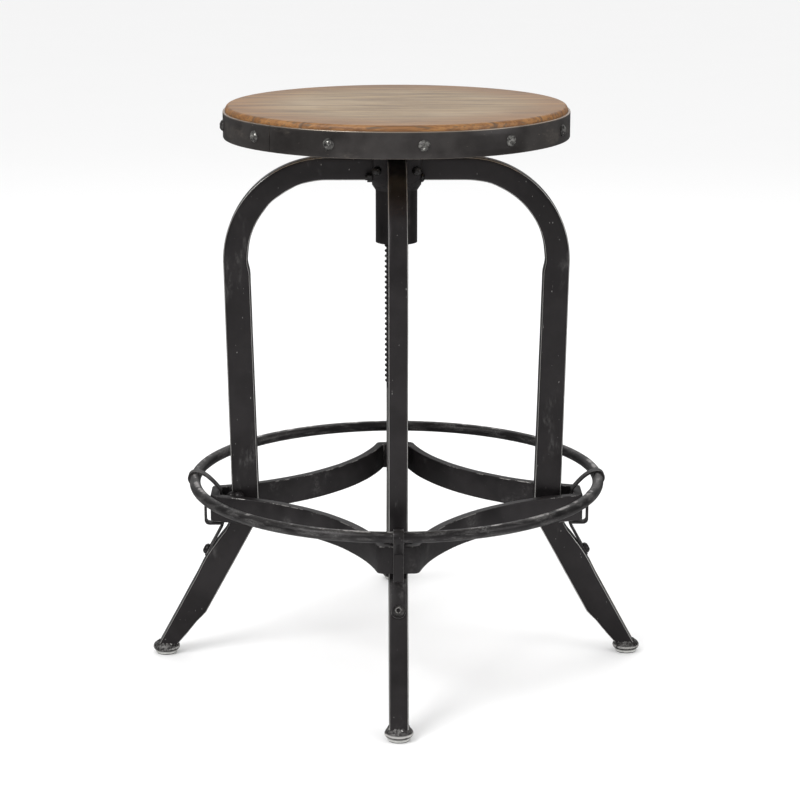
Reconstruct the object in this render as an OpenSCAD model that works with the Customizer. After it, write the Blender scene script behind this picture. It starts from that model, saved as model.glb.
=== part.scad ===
// Screw-height bar stool: round wooden seat on a threaded spindle, four bent tube legs,
// a scalloped brace and a round foot ring held to the legs by bolted clips.
// Millimetres. +Z is up, the origin is on the floor under the seat's axis,
// and the front leg points along -Y.

/* [Seat] */
// Height of the seat top at its lowest setting
seat_h = 610; // [560:1:680]
// Radius of the wooden seat
seat_r = 180; // [150:1:215]
// Thickness of the wooden seat
seat_t = 25; // [20:1:32]
// Rounding of the seat's top edge
seat_edge_r = 3; // [1:0.5:5]
// Height of the steel band round the seat
band_h = 27; // [20:1:34]
// Thickness of the steel band
band_t = 2.5; // [1.5:0.5:4]
// How far the wood stands above the band
band_drop = 6; // [2:1:10]
// Width of the butt joint where the band's two ends meet
band_seam = 0.8; // [0.4:0.1:2]
// Where the band's joint is, in degrees from the front towards the left
band_seam_turn = 44; // [0:1:90]
// Number of rivets round the band
rivet_count = 12; // [6:1:18]
// Where the first rivet is, in degrees from the front towards the right
rivet_turn = 8; // [-15:1:15]
// Diameter of a rivet head
rivet_head_d = 12; // [8:0.5:14]
// Height of a rivet head
rivet_head_h = 3.6; // [2:0.2:5]
// Diameter of a rivet shank
rivet_shank_d = 5; // [3:0.5:6]
// Length of a rivet shank in the wood
rivet_shank_l = 14; // [8:1:20]

/* [Spindle] */
// Outside diameter of the spindle's thread
spindle_d = 25.4; // [20:0.2:28]
// Depth of the spindle's thread
thread_depth = 2; // [1:0.1:2.5]
// Rise of the thread in one turn
thread_pitch = 5.7; // [4:0.1:8]
// Height of the spindle's lower end above the floor at the lowest setting
spindle_end_z = 302; // [280:1:330]
// Height the thread starts at, under the seat, measured from the floor
thread_top_z = 554; // [550:1:558]

/* [Seat plate] */
// Radius of the steel plate under the seat
plate_r = 80; // [60:1:100]
// Thickness of the seat plate
plate_t = 5; // [3:0.5:6]
// Radius of the plate's middle boss
boss_r = 20; // [18:0.5:24]
// Height of the ribs between the boss and the plate
rib_h = 14; // [8:1:16]
// Number of screws that hold the plate to the wood
screw_count = 6; // [3:1:8]
// Radius of the circle of screws
screw_circle_r = 64; // [50:1:75]
// Diameter of a plate screw
screw_d = 4.5; // [3:0.5:6]
// Length of a plate screw in the wood
screw_l = 15; // [10:1:18]
// Thickness of the stop washer on the spindle
washer_t = 4; // [2:0.5:4]

/* [Hub] */
// Outside diameter of the hub tube
hub_d = 44.4; // [41:0.2:46]
// Wall of the hub tube
hub_wall = 3; // [2:0.5:3.5]
// Height of the hub tube's lower end above the floor
hub_z = 463; // [455:1:470]
// Half width of the square hub head
head_half = 26; // [25.5:0.5:30]
// Thickness of the hub head's floor, under the legs
head_floor = 10; // [8:1:14]
// Height of the hub head's posts above the legs
head_rise = 3; // [1:0.5:3]
// Rounding of the hub head's corners
head_corner_r = 3; // [1:0.5:5]
// Length of the threaded nut in the hub tube
nut_l = 34; // [24:1:34]
// Length of the guide bush in the hub tube
bush_l = 17; // [10:1:17]
// Diameter of the hub bolts
hub_bolt_d = 6; // [5:0.5:7]
// Distance of the hub bolts from the seat's axis
hub_bolt_r = 21; // [20.5:0.1:21.5]
// Diameter of a hub bolt's round head
hub_head_d = 10; // [9:0.5:10.5]

/* [Legs] */
// Width of the leg tube, across the leg
leg_w = 20; // [16:0.5:22]
// Depth of the leg tube in its level part and its bend
leg_d = 25; // [22:0.2:27]
// Depth of the leg tube below its bend, where it wasn't squeezed
stem_d = 27.8; // [24:0.2:30]
// Wall of the leg tube
leg_wall = 2; // [1:0.5:3]
// Top of the legs above the floor
leg_top_z = 554.5; // [545:0.5:560]
// Radius of the bend, on its outer side
bend_out = 111.2; // [90:0.2:115]
// Distance from the seat's axis to a leg's outer face, below the bend
leg_reach = 184.8; // [172:0.2:195]
// How far a leg leans in, in degrees, from the bend to the knee
leg_lean = 1.12; // [0:0.02:2]
// Height of the knee on a leg's outer face
knee_z = 167.2; // [160:0.2:175]
// Splay of the leg below the knee, in degrees from upright
splay = 28.5; // [22:0.5:30]
// Depth of the leg at the knee, measured level
knee_d = 29.3; // [26:0.1:31]
// Depth of the leg above the foot, square to the leg
shin_d = 29; // [25:0.2:31]
// Depth of the dent that the bending left on the leg's outer face, below the knee
dent_d = 4.6; // [0:0.1:6]
// Height the leg starts to narrow at, on its inner side
pinch_z = 49; // [42:1:60]
// Depth of the leg's end on the foot, measured level
toe_d = 21; // [18:0.5:24]

/* [Feet] */
// Widest radius of a foot
foot_r = 14.7; // [13:0.1:16]
// Height of the top of a foot above the floor
foot_h = 12.5; // [11:0.5:16]
// Radius of the glide under a foot
glide_r = 11.8; // [10:0.1:12.5]
// Thickness of the glide
glide_t = 2.5; // [2:0.1:3]
// Thickness of the rubber sole under a glide
sole_t = 1; // [0.6:0.1:1.5]

/* [Foot ring and brace] */
// Distance from the outer face of a brace end out to the middle of the foot ring's bar
ring_past = 16.7; // [14:0.1:20]
// Diameter of the foot ring's bar
ring_bar_d = 12; // [10:0.5:14]
// Height of the foot ring above the floor, to the middle of its bar
ring_z = 201.6; // [198:0.1:206]
// Height of the top of the brace above the floor
brace_top_z = 186.5; // [180:0.5:190]
// Height of a brace bar
brace_h = 29; // [22:1:32]
// Thickness of a brace bar at its middle
brace_t = 9.5; // [6:0.5:12]
// Half width of a brace end's outer face
brace_end_half = 20.86; // [19:0.02:24]
// How far the middle of a brace bar stands in from the brace ends' outer faces
brace_sag = 82; // [75:1:87]
// Distance from a leg's knee out to the outer face of the brace end beside it
brace_past = 23.6; // [20.6:0.1:25.6]
// Thickness of a brace end
brace_end_t = 10; // [8:0.5:11]

/* [Ring clips] */
// Thickness of the clip strip
clip_t = 1.8; // [1.5:0.1:2.5]
// Width of a clip where it is bolted to the leg
clip_foot_w = 15.5; // [13:0.5:17]
// Width of a clip round the foot ring
clip_ring_w = 10.5; // [8:0.5:12]
// Height of the bolt in a clip, on the leg's outer face
clip_bolt_z = 118.5; // [116:0.5:122]
// Diameter of a clip bolt
clip_bolt_d = 6; // [5:0.5:7]
// Diameter of a clip bolt's head
clip_head_d = 12; // [10:0.5:13]
// Height of a clip bolt's head
clip_head_h = 4.5; // [3:0.5:5]

/* [Clearances] */
// Gap all round a running fit
fit_gap = 0.06; // [0.03:0.01:0.1]
// Gap between pieces that are welded, pressed or screwed together
seat_gap = 0.2; // [0.1:0.05:0.3]

/* [Hidden] */
$fn = 64;

SIDES = [["front", -90], ["right", 0], ["back", 90], ["left", 180]];

// seat
board_z = seat_h - seat_t;                      // underside of the wood
band_r = seat_r + seat_gap;                     // inside of the band
band_top = seat_h - band_drop;
rivet_z = band_top - band_h / 2;
plate_z = board_z - plate_t;                    // underside of the plate
screw_head_r = screw_d;
screw_head_h = 2.4;

// spindle and hub
spindle_r = spindle_d / 2;
root_r = spindle_r - thread_depth;
bore_r = spindle_r + fit_gap;                   // running bore of the nut and the bush
hub_r = hub_d / 2;
hub_in = hub_r - hub_wall;
leg_under = leg_top_z - leg_d;                  // underside of the legs' level part
head_z = leg_under - head_floor;                // underside of the hub head
head_top = leg_top_z + head_rise;
nut_z = hub_z + 2;
bush_z = head_z - seat_gap - bush_l;
washer_z = head_top + 2 * seat_gap;             // underside of the stop washer
boss_z = washer_z + washer_t;                   // underside of the boss
head_bore = spindle_r + 2.5;                    // hub head's bore, clear of the spindle
leg_start = head_bore + 0.3;                    // inner end of each leg
slot_half = leg_w / 2 + seat_gap;               // half width of the hub head's slots
bolt_high = leg_under + 13;                     // bolts through the left and right legs
bolt_low = leg_under + 5.4;                     // bolts through the front and back legs
bolt_head_h = 4;

// legs, drawn level along +X and upright along +Z
bend_r = bend_out - leg_d;                      // radius of the bend's inner side
bend_x = leg_reach - bend_out;                  // centre of the bend
bend_z = leg_top_z - bend_out;
knee_x = leg_reach - (bend_z - knee_z) * tan(leg_lean);
toe_x = knee_x + (knee_z - foot_h) * tan(splay);
shin_level = shin_d / cos(splay);               // depth of the shin, measured level
pinch_x = knee_x + (knee_z - pinch_z) * tan(splay) - shin_level;
knee_in_x = knee_x - knee_d;
dent_z = knee_z - 14.7;                          // where the dent is deepest
jog_h = 10;                                     // height over which the tube regains its depth
// inner knee: where the shin's inner face meets the inner face above it
knee_in_z = knee_z - (shin_level - knee_d) / tan(splay);
foot_x = toe_x - toe_d / 2 + 3.2;               // the feet stand a little outside the legs' ends

// brace, drawn in the corner between +X and +Y
brace_reach = knee_x + brace_past;              // from the seat's axis to the outer face of a brace end
brace_waist = brace_reach - brace_sag;          // and to the middle of a bar's outer face
ring_r = brace_reach + ring_past;
// centre of the bars' arcs, along X and along Y: their outer faces run from end to end by way of the waist
arc_c = (pow(brace_reach, 2) + pow(brace_end_half, 2) - pow(brace_waist, 2))
        / (2 * (brace_reach + brace_end_half - sqrt(2) * brace_waist));
brace_arc_r = sqrt(2) * arc_c - brace_waist;    // radius of a bar's outer face
brace_z = brace_top_z - brace_h;
bar_end = brace_reach - brace_end_t;
weld_x = knee_x - 4;                            // inner end of the beads between leg and bars
weld_l = 9;
weld_rise = brace_h - 3;                        // how far the beads go up between leg and bar
weld_hang = 9;                                  // and how far one of them hangs under the bar
weld_w = 5;                                     // width of the part that hangs
arc_in = brace_arc_r + brace_t;                 // radius of a bar's inner face

// clips, drawn as the legs are
ring_bar_r = ring_bar_d / 2;
wrap_r = ring_bar_r + seat_gap + clip_t / 2;    // middle of the strip round the ring
face_n = [cos(splay), sin(splay)];              // square to the shin's outer face
function face_pt(z, out) = [knee_x + (knee_z - z) * tan(splay), z] + out * face_n;
clip_under_z = brace_z - 8;
clip_kink = face_pt(clip_under_z, clip_t / 2);  // the strip runs straight on past the dent
clip_out_x = brace_reach + 6.5;
clip_corner = 2.5;                              // rounding of the strip's outer corner
clip_rise = [clip_out_x, ring_z - ring_bar_r - 11];
clip_in_x = bar_end - clip_t / 2 - seat_gap;    // the strip's end hooks inside the brace end
clip_bend = [clip_in_x + 14, ring_z + 1.4];
clip_over = [clip_in_x, brace_top_z + 1.5];
clip_tail = [clip_in_x, brace_top_z - 10];
clip_low = face_pt(clip_bolt_z - clip_foot_w, clip_t / 2);
clip_short = 1;                                 // the full width stops this far below the bend
clip_top = face_pt(clip_under_z - clip_short, clip_t / 2);
clip_end_d = clip_foot_w + 1;                   // roundness of the bolted end
wrap_steps = 16;
ring_c = [ring_r, ring_z];
function touch(p, side) =                       // angle where a line from p touches the wrap
    let (d = p - ring_c) atan2(d[1], d[0]) + side * acos(wrap_r / norm(d));
wrap_from = touch(clip_rise, 1);
wrap_to = touch(clip_bend, -1);
function on_wrap(a) = ring_c + wrap_r * [cos(a), sin(a)];
clip_turn_c = [clip_out_x - clip_corner, clip_kink[1] + clip_corner];
// the strip's middle line, from the leg to the hook
clip_path = concat(
    [clip_top, clip_kink],
    [for (a = [-90:22.5:0]) clip_turn_c + clip_corner * [cos(a), sin(a)]],
    [clip_rise],
    [for (i = [0:wrap_steps]) on_wrap(wrap_from + (wrap_to - wrap_from) * i / wrap_steps)],
    [clip_bend, clip_over, clip_tail]
);

// ---------------------------------------------------------------- helpers
module at_side(turn) {
    rotate([0, 0, turn]) children();
}

// a drawing in X and Z, given a thickness along Y about the middle
module upright(w) {
    rotate([90, 0, 0]) translate([0, 0, -w / 2]) linear_extrude(w) children();
}

// square to the line from p to q
function across(p, q) = let (d = (q - p) / norm(q - p)) [-d[1], d[0]];
// how a strip's side leaves corner i of its middle line
function mitre(path, i) =
    i == 0 ? across(path[0], path[1])
    : i == len(path) - 1 ? across(path[i - 1], path[i])
    : let (a = across(path[i - 1], path[i]), b = across(path[i], path[i + 1])) (a + b) / (1 + a * b);

// a bent strip of sheet seen from its edge
module ribbon(path, t) {
    last = len(path) - 1;
    polygon(concat([for (i = [0:last]) path[i] + t / 2 * mitre(path, i)],
                   [for (i = [last:-1:0]) path[i] - t / 2 * mitre(path, i)]));
}

module dome(r, h, base) {
    // a button head: short straight rim, then a rounded top
    rim = h * 0.25;
    big = (r * r + (h - rim) * (h - rim)) / (2 * (h - rim));
    translate([0, 0, base]) rotate_extrude() intersection() {
        translate([0, h - big]) circle(big, $fn = 96);
        square([r, h]);
    }
}

// ---------------------------------------------------------------- seat
module rivet_places() {
    for (i = [0:rivet_count - 1])
        rotate([0, 0, -90 + rivet_turn + i * 360 / rivet_count])
            translate([0, 0, rivet_z]) rotate([0, 90, 0]) children();
}

module screw_places() {
    for (i = [0:screw_count - 1])
        rotate([0, 0, (i + 0.5) * 360 / screw_count]) translate([screw_circle_r, 0, 0]) children();
}

module seat_board() {
    color([0.64, 0.45, 0.27]) difference() {
        rotate_extrude($fn = 128) union() {
            square([seat_r, seat_t - seat_edge_r]);
            square([seat_r - seat_edge_r, seat_t]);
            translate([seat_r - seat_edge_r, seat_t - seat_edge_r]) circle(seat_edge_r);
        }
        translate([0, 0, -board_z]) rivet_places()
            translate([0, 0, band_r - rivet_shank_l - 1]) cylinder(h = rivet_shank_l + 2, d = rivet_shank_d + 0.2);
        screw_places() translate([0, 0, -1]) cylinder(h = screw_l + 1.5, d = screw_d + 0.2);
    }
}

module seat_band() {
    color([0.2, 0.2, 0.21]) difference() {
        translate([0, 0, band_top - band_h]) difference() {
            cylinder(h = band_h, r = band_r + band_t, $fn = 128);
            translate([0, 0, -1]) cylinder(h = band_h + 2, r = band_r, $fn = 128);
        }
        rivet_places() translate([0, 0, band_r - 2]) cylinder(h = band_t + 4, d = rivet_shank_d + 0.2);
        rotate([0, 0, -90 - band_seam_turn])
            translate([band_r - 2, -band_seam / 2, band_top - band_h - 1]) cube([band_t + 4, band_seam, band_h + 2]);
    }
}

module band_rivets() {
    color([0.3, 0.3, 0.3]) rivet_places() {
        dome(rivet_head_d / 2, rivet_head_h, band_r + band_t);
        translate([0, 0, band_r - rivet_shank_l])
            cylinder(h = rivet_shank_l + band_t + 0.5, d = rivet_shank_d);
    }
}

module seat_plate() {
    color([0.17, 0.17, 0.18]) difference() {
        union() {
            translate([0, 0, plate_z]) cylinder(h = plate_t, r = plate_r, $fn = 96);
            translate([0, 0, boss_z]) cylinder(h = plate_z - boss_z + 1, r = boss_r);
            for (a = [0:90:270]) rotate([0, 0, a + 45]) upright(4) polygon([
                [boss_r - 2, plate_z + 1], [boss_r - 2, plate_z - rib_h],
                [boss_r + 2, plate_z - rib_h], [plate_r - 10, plate_z], [plate_r - 10, plate_z + 1]
            ]);
        }
        translate([0, 0, boss_z - 1]) cylinder(h = board_z - boss_z + 2, r = bore_r);
        screw_places() translate([0, 0, plate_z - 1]) cylinder(h = plate_t + 2, d = screw_d + 0.4);
    }
}

module plate_screws() {
    color([0.5, 0.5, 0.52]) screw_places() {
        translate([0, 0, plate_z]) mirror([0, 0, 1]) dome(screw_head_r, screw_head_h, 0);
        translate([0, 0, plate_z - 0.5]) cylinder(h = plate_t + screw_l, d = screw_d);
    }
}

module spindle() {
    turns = floor((thread_top_z - spindle_end_z - 4) / thread_pitch);
    color([0.25, 0.25, 0.26]) rotate_extrude() polygon(concat(
        [[0, spindle_end_z], [root_r - 1, spindle_end_z], [root_r, spindle_end_z + 1]],
        [for (i = [0:turns - 1], k = [[0.3, 0], [0.45, 1], [0.75, 1], [0.9, 0]])
            [root_r + k[1] * thread_depth, spindle_end_z + 2 + (i + k[0]) * thread_pitch]],
        [[root_r, thread_top_z - 1], [spindle_r, thread_top_z + 1], [spindle_r, board_z], [0, board_z]]
    ));
}

module stop_washer() {
    color([0.1, 0.1, 0.1]) translate([0, 0, washer_z]) difference() {
        cylinder(h = washer_t, r = head_half - 3);
        translate([0, 0, -1]) cylinder(h = washer_t + 2, r = bore_r);
    }
}

// ---------------------------------------------------------------- hub
module hub_tube() {
    color([0.2, 0.2, 0.21]) translate([0, 0, hub_z]) difference() {
        cylinder(h = head_z - hub_z, r = hub_r);
        translate([0, 0, -1]) cylinder(h = head_z - hub_z + 2, r = hub_in);
    }
}

module hub_bolt_places() {
    for (side = [-1, 1]) {
        translate([side * hub_bolt_r, 0, bolt_high]) rotate([90, 0, 0]) children();
        translate([0, side * hub_bolt_r, bolt_low]) rotate([0, 90, 0]) children();
    }
}

module hub_head() {
    reach = head_half + 1;
    color([0.19, 0.19, 0.2]) difference() {
        intersection() {
            translate([0, 0, head_z]) linear_extrude(head_top - head_z) rounded_square(head_half, head_corner_r);
            rotate_extrude() polygon([
                [0, head_z], [hub_r + 0.5, head_z], [head_half, head_z + 5],
                [head_half * sqrt(2), head_z + head_floor + 5], [head_half * sqrt(2), head_top], [0, head_top]
            ]);
        }
        translate([0, 0, head_z - 1]) cylinder(h = head_top - head_z + 2, r = head_bore);
        translate([-reach, -slot_half, leg_under]) cube([2 * reach, 2 * slot_half, head_top]);
        translate([-slot_half, -reach, leg_under]) cube([2 * slot_half, 2 * reach, head_top]);
        hub_bolt_places() translate([0, 0, -reach]) cylinder(h = 2 * reach, d = hub_bolt_d + 0.3);
    }
}

module rounded_square(half, r) {
    square([2 * half, 2 * (half - r)], center = true);
    square([2 * (half - r), 2 * half], center = true);
    for (x = [-1, 1], y = [-1, 1]) translate([x, y] * (half - r)) circle(r);
}

module spindle_nut() {
    color([0.66, 0.53, 0.28]) translate([0, 0, nut_z]) difference() {
        cylinder(h = nut_l, r = hub_in - seat_gap / 4);
        translate([0, 0, -1]) cylinder(h = nut_l + 2, r = bore_r);
    }
}

module guide_bush() {
    color([0.85, 0.84, 0.8]) translate([0, 0, bush_z]) difference() {
        cylinder(h = bush_l, r = hub_in - fit_gap);
        translate([0, 0, -1]) cylinder(h = bush_l + 2, r = bore_r);
    }
}

module hub_bolts() {
    color([0.35, 0.35, 0.36]) hub_bolt_places() {
        dome(hub_head_d / 2, bolt_head_h, head_half);
        translate([0, 0, -head_half - 7]) cylinder(h = 2 * head_half + 7.5, d = hub_bolt_d);
    }
}

module hub_nuts() {
    color([0.35, 0.35, 0.36]) hub_bolt_places() translate([0, 0, -head_half - 5]) difference() {
        cylinder(h = 5, d = hub_head_d, $fn = 6);
        translate([0, 0, -1]) cylinder(h = 7, d = hub_bolt_d + 0.1, $fn = 48);
    }
}

// ---------------------------------------------------------------- legs
// side outlines of a leg, or of its hollow when the tube's wall is given
module leg_bend(wall) {
    end = wall > 0 ? -1 : 0;                    // the hollow runs past the open end
    translate([leg_start + end, leg_under + wall]) square([bend_x - leg_start - end, leg_d - 2 * wall]);
    intersection() {
        difference() {
            translate([bend_x, bend_z]) circle(bend_out - wall, $fn = 128);
            translate([bend_x, bend_z]) circle(bend_r + wall, $fn = 128);
        }
        translate([bend_x, bend_z]) square(bend_out + 10);
    }
}

// upright stretch down to the knee, then the shin
module leg_stem(wall) {
    low = foot_h + wall;
    shin_wall = wall / cos(splay);
    polygon([
        [leg_reach - leg_d / 4, bend_z + leg_d / 4],
        [leg_reach - wall, bend_z],
        [knee_x - wall, knee_z],
        face_pt(dent_z, -dent_d - wall),
        face_pt(clip_bolt_z + 4, -wall),
        [knee_x + (knee_z - low) * tan(splay) - shin_wall, low],
        [toe_x - toe_d + 2 * wall, low],
        [pinch_x + shin_wall, pinch_z],
        [knee_in_x + wall, knee_in_z],
        [leg_reach - stem_d + wall, bend_z - jog_h],
        [leg_reach - leg_d + wall, bend_z],
        [leg_reach - leg_d * 3 / 4, bend_z + leg_d / 4]
    ]);
}

module leg(turn) {
    color([0.2, 0.2, 0.21]) at_side(turn) difference() {
        union() {
            upright(leg_w) leg_bend(0);
            upright(leg_w) leg_stem(0);
        }
        upright(leg_w - 2 * leg_wall) leg_bend(leg_wall);
        upright(leg_w - 2 * leg_wall) leg_stem(leg_wall);
        // holes for the hub bolt and the clip bolt
        translate([hub_bolt_r, 0, turn % 180 == 0 ? bolt_high : bolt_low]) rotate([90, 0, 0])
            translate([0, 0, -leg_w]) cylinder(h = 2 * leg_w, d = hub_bolt_d + 0.3);
        clip_bolt_place() translate([0, 0, -8]) cylinder(h = 12, d = clip_bolt_d + 0.3);
    }
}

// ---------------------------------------------------------------- feet
module foot_place(turn) {
    at_side(turn) translate([foot_x, 0, 0]) children();
}

module foot_pad(turn) {
    base = sole_t + glide_t;
    color([0.16, 0.16, 0.17]) foot_place(turn) rotate_extrude() polygon([
        [0, base], [glide_r + 0.9, base], [foot_r - 0.8, base + 1.9], [foot_r, base + 3.7],
        [foot_r - 0.2, base + 5.4], [foot_r - 1.2, foot_h - 2.2], [foot_r - 2.6, foot_h], [0, foot_h]
    ]);
}

module foot_glide(turn) {
    color([0.75, 0.75, 0.74]) foot_place(turn) translate([0, 0, sole_t]) cylinder(h = glide_t, r = glide_r);
}

module foot_sole(turn) {
    color([0.08, 0.08, 0.08]) foot_place(turn) cylinder(h = sole_t, r = glide_r - 0.8);
}

// ---------------------------------------------------------------- brace and foot ring
module bar_plan() {
    difference() {
        intersection() {
            translate([arc_c, arc_c]) circle(arc_in, $fn = 180);
            square(bar_end);
        }
        translate([arc_c, arc_c]) circle(brace_arc_r, $fn = 180);
    }
}

// the bar from this side's leg to the next one anticlockwise
module brace_bar(turn) {
    color([0.19, 0.19, 0.2]) at_side(turn) translate([0, 0, brace_z]) linear_extrude(brace_h) bar_plan();
}

module brace_end(turn) {
    color([0.19, 0.19, 0.2]) at_side(turn) translate([0, 0, brace_z]) linear_extrude(brace_h) difference() {
        translate([bar_end, -arc_c / 4]) square([brace_end_t, arc_c / 2]);
        for (side = [-1, 1]) translate([arc_c, side * arc_c]) circle(brace_arc_r, $fn = 180);
    }
}

// plan of the corner between a leg's side and the bar beside it, w wide or up to the bar
module weld_plan(side, w) {
    difference() {
        translate([weld_x, side < 0 ? -leg_w / 2 - w : leg_w / 2]) square([weld_l, w]);
        translate([arc_c, side * arc_c]) circle(arc_in, $fn = 180);
    }
}

// beads that join each leg to the bars beside it; the clockwise one hangs down the leg's side
module brace_welds() {
    color([0.15, 0.15, 0.15]) for (s = SIDES, side = [-1, 1]) at_side(s[1]) {
        translate([0, 0, brace_z]) linear_extrude(weld_rise) weld_plan(side, leg_w);
        if (side < 0) translate([0, 0, brace_z - weld_hang])
            linear_extrude(weld_hang + weld_rise / 2) weld_plan(side, weld_w);
    }
}

module foot_ring() {
    color([0.21, 0.21, 0.22]) translate([0, 0, ring_z]) rotate_extrude($fn = 180)
        translate([ring_r, 0]) circle(ring_bar_r);
}

// ---------------------------------------------------------------- clips
// the middle of the clip bolt on the leg's outer face, +Z pointing out of the leg
module clip_bolt_place() {
    p = face_pt(clip_bolt_z, 0);
    translate([p[0], 0, p[1]]) rotate([0, 90 - splay, 0]) children();
}

module ring_clip(turn) {
    color([0.18, 0.18, 0.19]) at_side(turn) difference() {
        union() {
            upright(clip_ring_w) ribbon(clip_path, clip_t);
            intersection() {
                upright(clip_foot_w) ribbon([clip_low, clip_top], clip_t);
                clip_bolt_place() translate([0, 0, -clip_foot_w]) linear_extrude(2 * clip_foot_w) {
                    circle(d = clip_end_d);
                    translate([-3 * clip_foot_w, -clip_foot_w]) square([3 * clip_foot_w, 2 * clip_foot_w]);
                }
            }
        }
        clip_bolt_place() translate([0, 0, -1]) cylinder(h = clip_t + 2, d = clip_bolt_d + 0.3);
    }
}

module clip_bolts() {
    color([0.3, 0.3, 0.31]) for (s = SIDES) at_side(s[1]) clip_bolt_place() difference() {
        union() {
            dome(clip_head_d / 2, clip_head_h, clip_t);
            translate([0, 0, -10]) cylinder(h = 10 + clip_t + 0.5, d = clip_bolt_d);
        }
        translate([0, 0, clip_t + clip_head_h - 2.5]) cylinder(h = 3, d = 4, $fn = 6);
    }
}

translate([0, 0, board_z]) seat_board();
seat_band();
band_rivets();
seat_plate();
plate_screws();
spindle();
stop_washer();
hub_tube();
hub_head();
spindle_nut();
guide_bush();
hub_bolts();
hub_nuts();
foot_ring();
clip_bolts();
brace_welds();
for (s = SIDES) {
    leg(s[1]);
    foot_pad(s[1]);
    foot_glide(s[1]);
    foot_sole(s[1]);
    brace_bar(s[1]);
    brace_end(s[1]);
    ring_clip(s[1]);
}
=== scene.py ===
# Bar stool: a banded wooden seat on a threaded spindle, bent tube legs,
# a scalloped brace and a clipped-on foot ring.
import math
import bpy
import bmesh
from mathutils import Matrix, Vector, noise


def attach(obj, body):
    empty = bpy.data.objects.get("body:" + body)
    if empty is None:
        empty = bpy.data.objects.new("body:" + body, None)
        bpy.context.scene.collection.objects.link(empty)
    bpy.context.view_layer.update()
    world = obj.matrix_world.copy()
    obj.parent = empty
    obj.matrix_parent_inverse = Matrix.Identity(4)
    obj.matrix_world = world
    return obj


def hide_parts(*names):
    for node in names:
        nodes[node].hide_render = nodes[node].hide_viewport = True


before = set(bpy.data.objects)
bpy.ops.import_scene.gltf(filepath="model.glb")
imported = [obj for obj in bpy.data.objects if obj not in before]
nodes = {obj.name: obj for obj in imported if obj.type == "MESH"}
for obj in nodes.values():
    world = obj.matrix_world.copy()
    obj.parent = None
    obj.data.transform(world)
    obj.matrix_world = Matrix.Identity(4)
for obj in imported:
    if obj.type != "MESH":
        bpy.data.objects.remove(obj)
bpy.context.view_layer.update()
sides = {"front": -90, "right": 0, "back": 90, "left": 180}  # which way each leg points, in degrees from +X
print("frame loaded:", len(nodes), "nodes")


# shared shader effects follow: each is a node group that puts out masks and values only
def newGroup(name, inputs, outputs):
    group = bpy.data.node_groups.new(name, "ShaderNodeTree")
    for label, kind, value in inputs:
        socket = group.interface.new_socket(name=label, in_out="INPUT", socket_type=kind)
        if value is not None:
            socket.default_value = value
    for label, kind in outputs:
        group.interface.new_socket(name=label, in_out="OUTPUT", socket_type=kind)
    return group, group.nodes.new("NodeGroupInput"), group.nodes.new("NodeGroupOutput")


def addNode(tree, kind, settings=None, **values):
    node = tree.nodes.new(kind)
    for key, value in (settings or {}).items():
        setattr(node, key, value)
    for key, value in values.items():
        socket = node.inputs[int(key[1:])] if key[0] == "i" and key[1:].isdigit() else node.inputs[key]
        if isinstance(value, bpy.types.NodeSocket):
            tree.links.new(value, socket)
        else:
            socket.default_value = value
    return node


def maths(tree, operation, a, b=0.0, c=None, clamp=False):
    node = addNode(tree, "ShaderNodeMath", {"operation": operation, "use_clamp": clamp}, i0=a, i1=b)
    if c is not None:
        if isinstance(c, bpy.types.NodeSocket):
            tree.links.new(c, node.inputs[2])
        else:
            node.inputs[2].default_value = c
    return node.outputs[0]


def ramp(tree, value, low, high):
    node = addNode(tree, "ShaderNodeMapRange", {"interpolation_type": "SMOOTHSTEP"})
    tree.links.new(value, node.inputs["Value"])
    for label, edge in (("From Min", low), ("From Max", high)):
        if isinstance(edge, bpy.types.NodeSocket):
            tree.links.new(edge, node.inputs[label])
        else:
            node.inputs[label].default_value = edge
    return node.outputs["Result"]


def mixColour(tree, factor, a, b):
    node = tree.nodes.new("ShaderNodeMix")
    node.data_type = "RGBA"
    for index, value in ((0, factor), (6, a), (7, b)):
        if isinstance(value, bpy.types.NodeSocket):
            tree.links.new(value, node.inputs[index])
        else:
            node.inputs[index].default_value = value
    return node.outputs[2]


def stretched(tree, scale, offset=(0, 0, 0)):
    where = tree.nodes.new("ShaderNodeTexCoord")
    return addNode(tree, "ShaderNodeMapping", Vector=where.outputs["Object"], Scale=scale, Location=offset).outputs[0]


def noiseAt(tree, vector, scale, detail=4.0, rough=0.55, distortion=0.0):
    node = addNode(tree, "ShaderNodeTexNoise", Vector=vector, Detail=detail, Roughness=rough, Distortion=distortion)
    if isinstance(scale, bpy.types.NodeSocket):
        tree.links.new(scale, node.inputs["Scale"])
    else:
        node.inputs["Scale"].default_value = scale
    return node.outputs["Fac"]


# bright metal along the arrises, broken up by how much each spot has been rubbed
def makeEdgeWear():
    group, start, end = newGroup("edgeWear",
        [("Amount", "NodeSocketFloat", 0.5), ("Patch Size", "NodeSocketFloat", 60.0),
         ("Fine Size", "NodeSocketFloat", 900.0)],
        [("Mask", "NodeSocketFloat")])
    place = stretched(group, (1, 1, 1))
    worn = addNode(group, "ShaderNodeAttribute", {"attribute_name": "wear"}).outputs["Fac"]
    patches = noiseAt(group, place, start.outputs["Patch Size"], 3.0)
    fine = noiseAt(group, place, start.outputs["Fine Size"], 2.0)
    level = maths(group, "ADD", maths(group, "MULTIPLY", patches, 0.75), maths(group, "MULTIPLY", fine, 0.25))
    level = maths(group, "ADD", level, maths(group, "SUBTRACT", start.outputs["Amount"], 0.5))
    strength = maths(group, "MULTIPLY", worn, ramp(group, level, 0.38, 0.62))
    group.links.new(ramp(group, strength, 0.5, 0.92), end.inputs["Mask"])
    return group


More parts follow.
